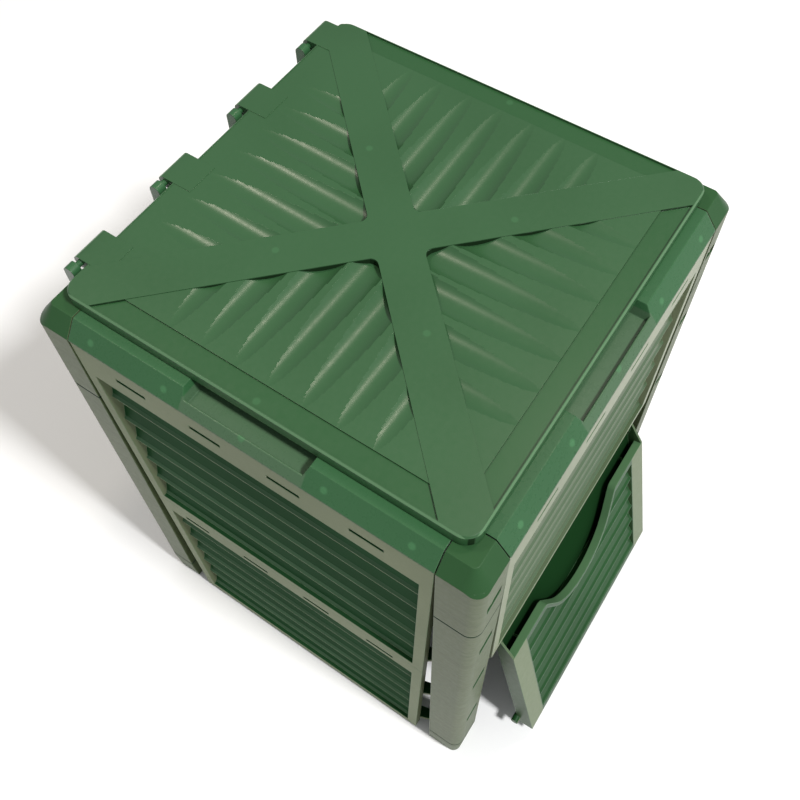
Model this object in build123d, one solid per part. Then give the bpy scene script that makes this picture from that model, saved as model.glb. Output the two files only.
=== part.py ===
from build123d import *
import math
import os

os.makedirs("parts", exist_ok=True)

# A square garden compost bin of moulded panels clipped between corner posts,
# with a hinged corrugated lid and a louvred door at the foot of the front.
# Front is -Y, the lid's hinge is at the back, the ground is Z = 0.

# Driving dimensions, in millimetres and degrees

# Fits
SEAT_GAP = 0.3
RUNNING_GAP = 0.1

# Corner posts
BODY_WIDTH = 600.0
BODY_CORNER_RADIUS = 16.0
POST_LEG = 53.5
POST_WALL = 4.0
POST_LIP_DEPTH = 22.0
FOOT_HEIGHT = 62.0
FOOT_TAPER = 3.0
FOOT_TAPER_HEIGHT = 45.0
FOOT_PAD = 4.0
CAP_HEIGHT = 132.0
SEAM_CHAMFER = 3.0
SPIGOT_LENGTH = 30.0
SPIGOT_WALL = 3.0
SPIGOT_ROOT = 10.0
WINDOW_INSET = 31.0
WINDOW_WIDTH = 28.0
WINDOW_HEIGHT = 26.0
WINDOW_SLANT = 8.0

# Sloping shoulder round the top, and the upstand that the lid rests on
SHOULDER_Z = 792.0
SHOULDER_RISE = 24.0
SHOULDER_RUN = 18.0
SHOULDER_TOP_RADIUS = 6.0
RIM_WALL = 3.5
RIM_FLANGE = 12.0
UPSTAND_INSET = 39.0
GRIP_LENGTH = 170.0
GRIP_FLOOR = 5.0
GRIP_SLANT = 8.0
GRIP_LIP_DEPTH = 11.0
GRIP_LIP_RADIUS = 1.5

# Louvred panels
PANEL_RECESS = 1.0
PANEL_TOP_GAP = 1.5
PANEL_TAPER = 25.0
PANEL_WALL = 3.5
PANEL_SEAM_Z = 380.0
PANEL_FOOT_Z = 8.0
STILE_WIDTH = 16.0
EDGE_WALL = 3.0
EDGE_DEPTH = 13.0
COLLAR_DEPTH = 27.0
UPPER_TOP_RAIL = 64.0
UPPER_BOTTOM_RAIL = 14.0
LOWER_TOP_RAIL = 38.0
LOWER_BOTTOM_RAIL = 16.0
SLAT_PITCH = 56.0
SLAT_OVERLAP = 6.0
SLAT_WALL = 3.0
SLAT_FRONT = 8.0
SLAT_LEAN = 16.0
SLAT_NOSE = 1.5
SLOT_COUNT = 4
SLOT_END_MARGIN = 83.0
SLOT_LENGTH = 44.0
SLOT_HEIGHT = 7.0
SLOT_PLAY = 1.0
UPPER_SLOT_DROP = 32.0
LOWER_SLOT_DROP = 25.0
TONGUE_WALL = 3.0
TONGUE_TAIL = 3.0
BARB_RECESS = 1.5

# Snap hooks between panels and posts
UPPER_HOOK_HEIGHTS = (725.0, 570.0, 402.0)
LOWER_HOOK_HEIGHT = 205.0
FOOT_HOOK_CLEARANCE = 9.0
HOOK_HEIGHT = 8.0
HOOK_PLATE = 3.0
HOOK_NEAR = 24.5
HOOK_FAR = 36.0
HOOK_BARB_WIDTH = 5.0
HOOK_BARB_HEIGHT = 16.0
HOOK_BARB_LEAN = 30.0
HOOK_BARB_REACH = 3.0
HOOK_ROOT = 14.5

# Lid
LID_INSET = 30.0
LID_GAP = 2.0
LID_WALL = 3.0
LID_CORNER_RADIUS = 20.0
LID_EDGE_BEVEL = 2.0
SKIRT_HEIGHT = 18.0
BAND_WIDTH = 55.0
BAND_CROSS_RADIUS = 10.0
RIM_LIP = 3.0
CHANNEL_WIDTH = 28.0
CHANNEL_DEPTH = 3.0
FIELD_DROP = 0.8
WAVE_PITCH = 45.0
WAVE_DEPTH = 9.5
WAVE_VALLEY_RADIUS = 30.0
WAVES_EACH_SIDE = 3
UNDERSIDE_FACETS = 8

# Lid hinge
TAB_COUNT = 4
FIRST_TAB_MARGIN = 67.5
LAST_TAB_MARGIN = 37.5
TAB_WIDTH = 46.0
TAB_RADIUS = 9.0
TAB_STRAP = 28.0
TAB_STRAP_WALL = 6.0
HINGE_INSET = 16.0
HINGE_PIN_RADIUS = 4.0
KNUCKLE_WIDTH = 12.0
KNUCKLE_RADIUS = 8.0
KNUCKLE_GAP = 6.0
KNUCKLE_DEPTH = 15.0
PIN_END_MARGIN = 3.0

# Door
DOOR_SIDE_GAP = 44.5
DOOR_FOOT_Z = 14.0
DOOR_LIP_Z = 312.0
DOOR_TOP_Z = 372.0
DOOR_PROUD = 16.0
DOOR_DEPTH = 26.0
DOOR_WALL = 3.5
DOOR_STILE = 36.0
DOOR_BOTTOM_RAIL = 14.0
DOOR_TOP_RAIL = 12.0
DOOR_SLAT_PITCH = 46.0
DOOR_SLAT_FRONT = 3.0
ARCH_HALF = 108.0
ARCH_DEPTH = 92.0
ARCH_SLOPE = 60.0
ARCH_RIM = 6.0
ARCH_SHOULDER_RADIUS = 12.0
ARCH_FLANGE = 12.0
POCKET_FLOOR_DROP = 14.0
DOOR_AXIS_Z = 340.0
DOOR_AXIS_INSET = 13.0
DOOR_PIN_RADIUS = 6.0
DOOR_PIN_PAST_LIP = 4.0
DOOR_EAR_RADIUS = 11.0
DOOR_EAR_WALL = 8.0
DOOR_PEG_Z = 36.0
DOOR_PEG_LENGTH = 10.0
DOOR_AJAR = 12.0

# Derived levels and half-widths
HALF = BODY_WIDTH / 2
POST_INNER = HALF - POST_LEG
CAP_SEAM_Z = SHOULDER_Z - CAP_HEIGHT
SHOULDER_TOP_Z = SHOULDER_Z + SHOULDER_RISE
LID_FOOT_Z = SHOULDER_TOP_Z + LID_GAP
LID_TOP_Z = LID_FOOT_Z + SKIRT_HEIGHT
UPSTAND_TOP_Z = LID_TOP_Z - CHANNEL_DEPTH - LID_WALL - SEAT_GAP
UPSTAND_INNER = UPSTAND_INSET + RIM_WALL
LID_HALF = HALF - LID_INSET
PANEL_TOP_HALF = POST_INNER - PANEL_TOP_GAP
PANEL_BACK = PANEL_RECESS + PANEL_WALL
HINGE_Y = HALF - HINGE_INSET
HINGE_Z = LID_TOP_Z - TAB_RADIUS
TAB_PITCH = (2 * LID_HALF - FIRST_TAB_MARGIN - LAST_TAB_MARGIN) / (TAB_COUNT - 1)
HINGE_STATIONS = [-LID_HALF + FIRST_TAB_MARGIN + k * TAB_PITCH for k in range(TAB_COUNT)]
SLOT_PITCH = 2 * (PANEL_TOP_HALF - SLOT_END_MARGIN) / (SLOT_COUNT - 1)
SLOT_STATIONS = [SLOT_PITCH * (k - (SLOT_COUNT - 1) / 2) for k in range(SLOT_COUNT)]
UPPER_SLOT_Z = SHOULDER_Z - UPPER_SLOT_DROP
LOWER_SLOT_Z = PANEL_SEAM_Z - LOWER_SLOT_DROP
FOOT_HOOK_Z = FOOT_HEIGHT - SPIGOT_ROOT - FOOT_HOOK_CLEARANCE - WINDOW_HEIGHT / 2
LOWER_HOOK_HEIGHTS = (LOWER_HOOK_HEIGHT, FOOT_HOOK_Z)
DOOR_HALF = POST_INNER - DOOR_SIDE_GAP
DOOR_AXIS_Y = -HALF + DOOR_AXIS_INSET

# The frame's origin lies under the middle of the whole outline, open door included
DOOR_REACH = (
    (DOOR_AXIS_INSET + DOOR_PROUD) * math.cos(math.radians(DOOR_AJAR))
    + (DOOR_AXIS_Z - DOOR_FOOT_Z) * math.sin(math.radians(DOOR_AJAR))
    - DOOR_AXIS_INSET
)
CENTRE_SHIFT = DOOR_REACH / 2


# Drawing helpers

def outline(*points):
    """A flat face with straight sides through the given points."""
    return make_face(Polyline(*points, close=True))


def slab(face, near, far):
    """A face drawn in X and Z, made solid between two depths behind the front of the body."""
    start = Plane.XZ.offset(HALF - near) * face
    return extrude(start, amount=far - near, dir=(0, 1, 0))


def beam(face, x_from, x_to):
    """A face drawn in depth and Z, made solid along the front from one X to another."""
    start = Plane.YZ.offset(x_from) * (Pos(-HALF, 0) * face)
    return extrude(start, amount=x_to - x_from, dir=(1, 0, 0))


def block(x_range, y_range, z_range):
    """A box between two corners."""
    size = [b - a for a, b in (x_range, y_range, z_range)]
    middle = [(a + b) / 2 for a, b in (x_range, y_range, z_range)]
    return Pos(*middle) * Box(*size)


def rod(radius, x_from, x_to, y, z):
    """A round bar along X."""
    return Pos((x_from + x_to) / 2, y, z) * Rot(0, 90, 0) * Cylinder(radius, x_to - x_from)


def both_sides(shape):
    """A shape and its mirror image across the middle of the front."""
    return shape + mirror(shape, about=Plane.YZ)


def square(width, radius, z):
    """A square face with rounded corners round the bin's axis."""
    return Pos(0, 0, z) * RectangleRounded(width, width, radius)


# Corner posts, drawn for the back right corner (+X, +Y)

def inset_square(inset, z):
    """The body's plan drawn in by a distance, its corner radius kept concentric."""
    return square(BODY_WIDTH - 2 * inset, BODY_CORNER_RADIUS - inset, z)


def bevelled_square(inset, z):
    """The same plan with flat bevels that touch the round corners, for the inside of the posts."""
    width = BODY_WIDTH - 2 * inset
    bevel = (2 - math.sqrt(2)) * (BODY_CORNER_RADIUS - inset)
    return Pos(0, 0, z) * chamfer(Rectangle(width, width).vertices(), bevel)


def post_length(z_from, z_to):
    """An angle with its free edges turned inwards."""
    height = z_to - z_from
    corner = block((POST_INNER, HALF), (POST_INNER, HALF), (z_from, z_to))
    shell = extrude(inset_square(0, z_from), height) - extrude(bevelled_square(POST_WALL, z_from), height)
    lip_wall = (POST_INNER, POST_INNER + POST_WALL)
    lip_depth = (HALF - POST_LIP_DEPTH, HALF - POST_WALL / 2)
    lips = block(lip_wall, lip_depth, (z_from, z_to)) + block(lip_depth, lip_wall, (z_from, z_to))
    return (shell & corner) + lips


def spigot(z_seam, upwards):
    """The inner angle that slides into the next post piece."""
    start = POST_INNER + POST_WALL + SPIGOT_WALL
    side = 1 if upwards else -1
    free = sorted((z_seam, z_seam + side * SPIGOT_LENGTH))
    root = sorted((z_seam - side * SPIGOT_ROOT, z_seam))
    pieces = []
    for (low, high), outer in ((free, POST_WALL + SEAT_GAP), (root, POST_WALL / 2)):
        corner = block((start, HALF), (start, HALF), (low, high))
        tube = extrude(bevelled_square(outer, low), high - low)
        tube -= extrude(bevelled_square(POST_WALL + SEAT_GAP + SPIGOT_WALL, low), high - low)
        pieces.append(tube & corner)
    return pieces[0] + pieces[1]


def catch_window(z):
    """The slanted hole in the post's front or back leg where a side panel's hook snaps in."""
    across = WINDOW_WIDTH / 2
    up = WINDOW_HEIGHT / 2
    hole = outline(
        (-across, -up),
        (across, -up + WINDOW_SLANT),
        (across, up),
        (-across, up - WINDOW_SLANT),
    )
    return Rot(0, 0, 180) * slab(Pos(WINDOW_INSET - HALF, z) * hole, -1, POST_WALL + FOOT_TAPER + 1)


def seam_groove(z_top):
    """The bevel taken off the top edge of a post piece, which shows as a dark groove at the seam."""
    z_from = z_top - SEAM_CHAMFER
    kept = extrude(inset_square(0, z_from), SEAM_CHAMFER, taper=45)
    return extrude(square(BODY_WIDTH + 2, BODY_CORNER_RADIUS, z_from), SEAM_CHAMFER) - kept


def corner_post():
    """The long middle piece of a corner post."""
    z_from = FOOT_HEIGHT + SEAT_GAP
    z_to = CAP_SEAM_Z - SEAT_GAP
    post = post_length(z_from, z_to) - seam_groove(z_to)
    for z in UPPER_HOOK_HEIGHTS[1:] + LOWER_HOOK_HEIGHTS[:1]:
        post -= catch_window(z)
    return post


def front_corner_post():
    """A middle piece whose lip also carries the door's hinge pin."""
    radius = DOOR_PIN_RADIUS + RUNNING_GAP
    bore = rod(radius, POST_INNER - 1, POST_INNER + POST_WALL + 1, -DOOR_AXIS_Y, DOOR_AXIS_Z)
    return corner_post() - bore


def foot_block(plan, inset):
    """The foot's plan, drawn in by an inset: straight above, narrowing towards the ground below."""
    draw = math.degrees(math.atan(FOOT_TAPER / FOOT_TAPER_HEIGHT))
    lower = extrude(plan(inset + FOOT_TAPER, 0), FOOT_TAPER_HEIGHT, taper=-draw)
    return lower + extrude(plan(inset, FOOT_TAPER_HEIGHT), FOOT_HEIGHT - FOOT_TAPER_HEIGHT)


def corner_foot():
    """The foot of a corner post, drawn in a little towards the ground, with a flat pad."""
    corner = block((POST_INNER, HALF), (POST_INNER, HALF), (0, FOOT_HEIGHT))
    outer = foot_block(inset_square, 0)
    inner = foot_block(bevelled_square, POST_WALL)
    pad = extrude(inset_square(FOOT_TAPER, 0), FOOT_PAD)
    lips = post_length(FOOT_PAD, FOOT_HEIGHT) & outer
    foot = ((outer - inner) & corner) + (pad & corner) + lips - seam_groove(FOOT_HEIGHT)
    return foot + spigot(FOOT_HEIGHT, True) - catch_window(FOOT_HOOK_Z)


def shoulder_block(z_from, z_to, inset):
    """The four sloping faces round the top of the body, with coned corners, drawn in by an inset."""
    slope = SHOULDER_RUN / SHOULDER_RISE
    width = BODY_WIDTH - 2 * inset + 2 * slope * (SHOULDER_Z - z_from)
    radius = SHOULDER_TOP_RADIUS + slope * (SHOULDER_TOP_Z - z_from)
    return extrude(square(width, radius, z_from), z_to - z_from, taper=math.degrees(math.atan(slope)))


def rim_ring():
    """The sloping shoulder with its ledge and upstand, as one ring round the top of the body."""
    skew = RIM_WALL * math.hypot(SHOULDER_RUN, SHOULDER_RISE) / SHOULDER_RISE
    ring = extrude(inset_square(0, SHOULDER_Z), SHOULDER_RISE)
    ring &= shoulder_block(SHOULDER_Z, SHOULDER_TOP_Z, 0)
    ring += extrude(
        square(BODY_WIDTH - 2 * UPSTAND_INSET, SHOULDER_TOP_RADIUS, SHOULDER_TOP_Z),
        UPSTAND_TOP_Z - SHOULDER_TOP_Z,
    )
    ring -= shoulder_block(SHOULDER_Z + RIM_WALL, SHOULDER_TOP_Z - RIM_WALL, skew)
    for inset, z_to in ((RIM_FLANGE, SHOULDER_Z + RIM_WALL), (UPSTAND_INNER, UPSTAND_TOP_Z)):
        reach = HALF - inset
        ring -= block((-reach, reach), (-reach, reach), (SHOULDER_Z, z_to))
    return ring


def corner_cap(ring):
    """The top piece of a corner post, with its part of the shoulder."""
    corner = block((POST_INNER, HALF), (POST_INNER, HALF), (CAP_SEAM_Z, UPSTAND_TOP_Z))
    cap = post_length(CAP_SEAM_Z, SHOULDER_Z) & shoulder_block(CAP_SEAM_Z, SHOULDER_TOP_Z, 0)
    cap += (ring & corner) + spigot(CAP_SEAM_Z, False)
    return cap - catch_window(UPPER_HOOK_HEIGHTS[0])


# Rails and panels, drawn on the front

def tongue(x, z_root, z_slot):
    """A tongue that hangs behind the rail below and snaps into its slot."""
    half_width = SLOT_LENGTH / 2 - SLOT_PLAY
    depth = PANEL_BACK + SEAT_GAP
    leaf = outline(
        (x - half_width, z_slot - SLOT_HEIGHT / 2 - TONGUE_TAIL),
        (x + half_width, z_slot - SLOT_HEIGHT / 2 - TONGUE_TAIL),
        (x + half_width, z_root),
        (x - half_width, z_root),
    )
    barb = Pos(x, z_slot) * Rectangle(2 * half_width, SLOT_HEIGHT - 2 * SLOT_PLAY)
    back = depth + TONGUE_WALL
    return slab(leaf, depth, back) + slab(barb, PANEL_RECESS + BARB_RECESS, back)


def slots(z):
    """The row of catch slots through a panel's top rail."""
    row = [Pos(x, z) * Rectangle(SLOT_LENGTH, SLOT_HEIGHT) for x in SLOT_STATIONS]
    return [slab(slot, PANEL_RECESS - 1, PANEL_BACK + 1) for slot in row]


def rim_rail(ring):
    """One side of the shoulder, with the tongues that hold the panel below."""
    stretch = block(
        (-PANEL_TOP_HALF, PANEL_TOP_HALF),
        (-HALF, -HALF + UPSTAND_INNER + 1),
        (SHOULDER_Z, UPSTAND_TOP_Z),
    )
    rail = ring & stretch
    for x in SLOT_STATIONS:
        rail += tongue(x, SHOULDER_Z + RIM_WALL / 2, UPPER_SLOT_Z)
    return rail


def grip_rail(ring):
    """A rail with a finger grip: a trough under the lid's edge, behind a lip of the shoulder."""
    grip_half = GRIP_LENGTH / 2
    housing = outline(
        (0, SHOULDER_Z),
        (SHOULDER_RUN, SHOULDER_TOP_Z),
        (UPSTAND_INNER, SHOULDER_TOP_Z),
        (UPSTAND_INNER, SHOULDER_Z),
    )
    rail = rim_rail(ring) + beam(housing, -grip_half - RIM_WALL, grip_half + RIM_WALL)
    floor_z = SHOULDER_Z + GRIP_FLOOR
    mouth = outline(
        (-grip_half + GRIP_SLANT, floor_z),
        (grip_half - GRIP_SLANT, floor_z),
        (grip_half, SHOULDER_TOP_Z + LID_GAP),
        (-grip_half, SHOULDER_TOP_Z + LID_GAP),
    )
    rail -= slab(mouth, GRIP_LIP_DEPTH, UPSTAND_INSET)
    lip_z = SHOULDER_Z + GRIP_LIP_DEPTH * SHOULDER_RISE / SHOULDER_RUN
    lip = rail.edges().filter_by(Axis.X).filter_by_position(Axis.Z, lip_z - 0.01, lip_z + 0.01)
    return fillet(lip, GRIP_LIP_RADIUS)


def hinge_rail(ring):
    """The back rail, with a knuckle and pin for each of the lid's hinge tabs."""
    rail = rim_rail(ring)
    axis_y = -HINGE_Y
    for station in HINGE_STATIONS:
        inner = -station + TAB_WIDTH / 2 + KNUCKLE_GAP
        outer = inner + KNUCKLE_WIDTH
        pedestal = block(
            (inner, outer),
            (axis_y - KNUCKLE_RADIUS, axis_y - KNUCKLE_RADIUS + KNUCKLE_DEPTH),
            (SHOULDER_TOP_Z - SHOULDER_RISE / 2, HINGE_Z),
        )
        rail += pedestal + rod(KNUCKLE_RADIUS, inner, outer, axis_y, HINGE_Z)
        pin_end = -station - TAB_WIDTH / 2 + PIN_END_MARGIN
        rail += rod(HINGE_PIN_RADIUS, pin_end, inner, axis_y, HINGE_Z)
    return rail


def panel_half(z):
    """Half the panel's width at a height: the panels narrow towards the ground."""
    return PANEL_TOP_HALF - PANEL_TAPER * (SHOULDER_Z - z) / SHOULDER_Z


def tapered(z_from, z_to, inset):
    """The panel's outline between two heights, drawn in at both sides."""
    low = panel_half(z_from) - inset
    high = panel_half(z_to) - inset
    return outline((-low, z_from), (low, z_from), (high, z_to), (-high, z_to))


def louvres(z_from, z_to, pitch, front, clip):
    """Leaning slats with a nose along the lower edge, each overlapping the next, cut to the clip solid."""
    count = max(1, round((z_to - z_from) / pitch))
    step = (z_to - z_from) / count
    height = step + SLAT_OVERLAP
    nose_from = 4 * SLAT_NOSE
    section = outline(
        (front - SLAT_NOSE, 0),
        (front + SLAT_WALL, 0),
        (front + SLAT_LEAN + SLAT_WALL, height),
        (front + SLAT_LEAN, height),
        (front + SLAT_LEAN * nose_from / height, nose_from),
        (front - SLAT_NOSE, SLAT_NOSE),
    )
    slat = beam(section, -HALF, HALF)
    return [(Pos(0, 0, z_from + k * step) * slat) & clip for k in range(count)]


def side_hook(z, long_reach):
    """A snap hook on the right edge of a panel: a lug that goes round the post's lip."""
    edge = panel_half(z) - SEAT_GAP
    root = edge - HOOK_ROOT
    past_lip = POST_INNER + POST_WALL + SEAT_GAP
    round_lip = POST_LIP_DEPTH + 2 * SEAT_GAP
    start = [(root, PANEL_BACK), (edge, PANEL_BACK), (edge, EDGE_DEPTH), (POST_INNER - SEAT_GAP, round_lip)]
    if long_reach:
        draw_in = FOOT_TAPER * max(0.0, 1 - (z - HOOK_HEIGHT / 2) / FOOT_TAPER_HEIGHT)
        reach = HALF - POST_WALL - SEAT_GAP - draw_in
        end = [(past_lip, HOOK_NEAR), (reach, HOOK_NEAR), (reach, HOOK_FAR), (POST_INNER, HOOK_FAR)]
    else:
        reach = past_lip + HOOK_PLATE
        end = [(past_lip, round_lip), (past_lip, EDGE_DEPTH), (reach, EDGE_DEPTH), (reach, HOOK_NEAR)]
        end.append((POST_INNER, HOOK_NEAR))
    plan = outline(*[(x, depth - HALF) for x, depth in start + end + [(root, COLLAR_DEPTH)]])
    hook = extrude(Pos(0, 0, z - HOOK_HEIGHT / 2) * plan, HOOK_HEIGHT, dir=(0, 0, 1))
    if long_reach:
        barb = Box(HOOK_PLATE + HOOK_BARB_REACH, HOOK_BARB_WIDTH, HOOK_BARB_HEIGHT)
        middle = reach + (HOOK_BARB_REACH - HOOK_PLATE) / 2
        hook += Pos(middle, WINDOW_INSET - HALF, z) * Rot(-HOOK_BARB_LEAN, 0, 0) * barb
    return hook


def louvre_panel(z_from, z_to, field_from, field_to, slot_z, hook_heights, long_reach):
    """A framed panel of slats with a slotted top rail and snap hooks at its edges."""
    field = tapered(field_from, field_to, STILE_WIDTH)
    frame = slab(tapered(z_from, z_to, 0) - field, PANEL_RECESS, PANEL_BACK)
    collar = tapered(field_from - EDGE_WALL, field_to + EDGE_WALL, STILE_WIDTH - EDGE_WALL) - field
    frame += slab(collar, PANEL_RECESS, PANEL_RECESS + COLLAR_DEPTH)
    edges = tapered(z_from, z_to, 0) - tapered(z_from, z_to, EDGE_WALL)
    frame += slab(edges, PANEL_RECESS, EDGE_DEPTH)
    clip = slab(tapered(field_from, field_to, STILE_WIDTH - EDGE_WALL / 2), 0, PANEL_RECESS + COLLAR_DEPTH)
    for slat in louvres(field_from, field_to, SLAT_PITCH, SLAT_FRONT, clip):
        frame += slat
    for slot in slots(slot_z):
        frame -= slot
    for z in hook_heights:
        frame += both_sides(side_hook(z, long_reach))
    return frame


def upper_panel(long_reach, with_tongues):
    """The panel under the rim rail; the front one has no panel below to clip into."""
    z_from = PANEL_SEAM_Z
    panel = louvre_panel(
        z_from,
        SHOULDER_Z - SEAT_GAP,
        z_from + UPPER_BOTTOM_RAIL,
        SHOULDER_Z - UPPER_TOP_RAIL,
        UPPER_SLOT_Z,
        UPPER_HOOK_HEIGHTS,
        long_reach,
    )
    if with_tongues:
        for x in SLOT_STATIONS:
            panel += tongue(x, z_from + UPPER_BOTTOM_RAIL - EDGE_WALL / 2, LOWER_SLOT_Z)
    return panel


def lower_panel(long_reach):
    """The panel at the foot of the back and the sides."""
    z_to = PANEL_SEAM_Z - SEAT_GAP
    return louvre_panel(
        PANEL_FOOT_Z,
        z_to,
        PANEL_FOOT_Z + LOWER_BOTTOM_RAIL,
        z_to - LOWER_TOP_RAIL,
        LOWER_SLOT_Z,
        LOWER_HOOK_HEIGHTS,
        long_reach,
    )


# Lid

def wave_valleys(field_z, facets):
    """Valleys of the front corrugations, round or in flats: nothing at the rim, deepest at the middle."""
    field_edge = LID_HALF - RIM_LIP - CHANNEL_WIDTH
    fall = math.atan(WAVE_DEPTH / (field_edge - BAND_WIDTH / math.sqrt(2)))
    axis_z = field_z + WAVE_VALLEY_RADIUS / math.cos(fall)
    section = Circle(WAVE_VALLEY_RADIUS)
    if facets:
        section = RegularPolygon(WAVE_VALLEY_RADIUS, facets, major_radius=False, rotation=180 / facets)
    roller = Rot(90 - math.degrees(fall), 0, 0) * extrude(section, field_edge, both=True)
    steps = range(-WAVES_EACH_SIDE, WAVES_EACH_SIDE + 1)
    return [Pos(k * WAVE_PITCH, -field_edge, axis_z) * roller for k in steps]


def lid_relief(lift, band_width, facets):
    """What is taken from the top of the lid: channels, fields and corrugations, at a height offset."""
    top = LID_TOP_Z + lift
    over = LID_TOP_Z + 1
    half_cross = band_width / math.sqrt(2)
    lip_edge = LID_HALF - RIM_LIP
    field_z = top - FIELD_DROP
    valleys = wave_valleys(field_z, facets)
    relief = []
    for turn in range(4):
        at_hinge = turn == 2
        edge = lip_edge if at_hinge else lip_edge - CHANNEL_WIDTH
        corner_from = edge - half_cross
        triangle = outline((0, -half_cross), (corner_from, -edge), (-corner_from, -edge))
        triangle = fillet(triangle.vertices().sort_by(Axis.Y)[-1], BAND_CROSS_RADIUS)
        place = Rot(0, 0, 90 * turn)
        prism = extrude(Pos(0, 0, LID_FOOT_Z) * triangle, over - LID_FOOT_Z)
        relief.append(place * extrude(Pos(0, 0, field_z) * triangle, over - field_z))
        for valley in valleys:
            relief.append(place * (valley & prism))
        if not at_hinge:
            channel_to = lip_edge - half_cross
            channel = outline(
                (-corner_from, -edge),
                (corner_from, -edge),
                (channel_to, -lip_edge),
                (-channel_to, -lip_edge),
            )
            floor_z = top - CHANNEL_DEPTH
            relief.append(place * extrude(Pos(0, 0, floor_z) * channel, over - floor_z))
    return relief


def lid():
    """The corrugated lid: an even shell that follows its relief, with hinge tabs at the back."""
    cover = extrude(square(2 * LID_HALF, LID_CORNER_RADIUS, LID_FOOT_Z), SKIRT_HEIGHT)
    cover = chamfer(cover.faces().sort_by(Axis.Z)[-1].edges(), LID_EDGE_BEVEL)
    hollow = extrude(
        square(2 * (LID_HALF - LID_WALL), LID_CORNER_RADIUS - LID_WALL, LID_FOOT_Z),
        SKIRT_HEIGHT - LID_WALL,
    )
    for cut in lid_relief(0, BAND_WIDTH, 0):
        cover -= cut
    for cut in lid_relief(-LID_WALL, BAND_WIDTH - 2 * LID_WALL, UNDERSIDE_FACETS):
        hollow -= cut
    cover -= hollow
    for station in HINGE_STATIONS:
        left = station - TAB_WIDTH / 2
        right = station + TAB_WIDTH / 2
        strap = block((left, right), (LID_HALF - TAB_STRAP, HINGE_Y), (LID_TOP_Z - LID_WALL, LID_TOP_Z))
        neck = block((left, right), (LID_HALF - LID_WALL, HINGE_Y), (LID_TOP_Z - TAB_STRAP_WALL, LID_TOP_Z))
        cover += strap + neck + rod(TAB_RADIUS, left, right, HINGE_Y, HINGE_Z)
        cover -= rod(HINGE_PIN_RADIUS + RUNNING_GAP, left - 1, right + 1, HINGE_Y, HINGE_Z)
    return cover


# Door, drawn closed and then swung out to where it stands ajar

def arch_face(grow):
    """The rounded cut-out in the top of the door's front, made larger all round by a distance."""
    rise = math.tan(math.radians(ARCH_SLOPE))
    lengthen = 1 / math.cos(math.radians(ARCH_SLOPE))
    radius = (ARCH_HALF * rise - ARCH_DEPTH) / (lengthen - 1)
    apex_z = DOOR_LIP_Z - ARCH_HALF * rise - grow * lengthen
    over_z = DOOR_LIP_Z + ARCH_DEPTH
    half = (over_z - apex_z) / rise
    notch = outline((0, apex_z), (half, over_z), (-half, over_z))
    return fillet(notch.vertices().sort_by(Axis.Y)[0], radius + grow)


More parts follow.
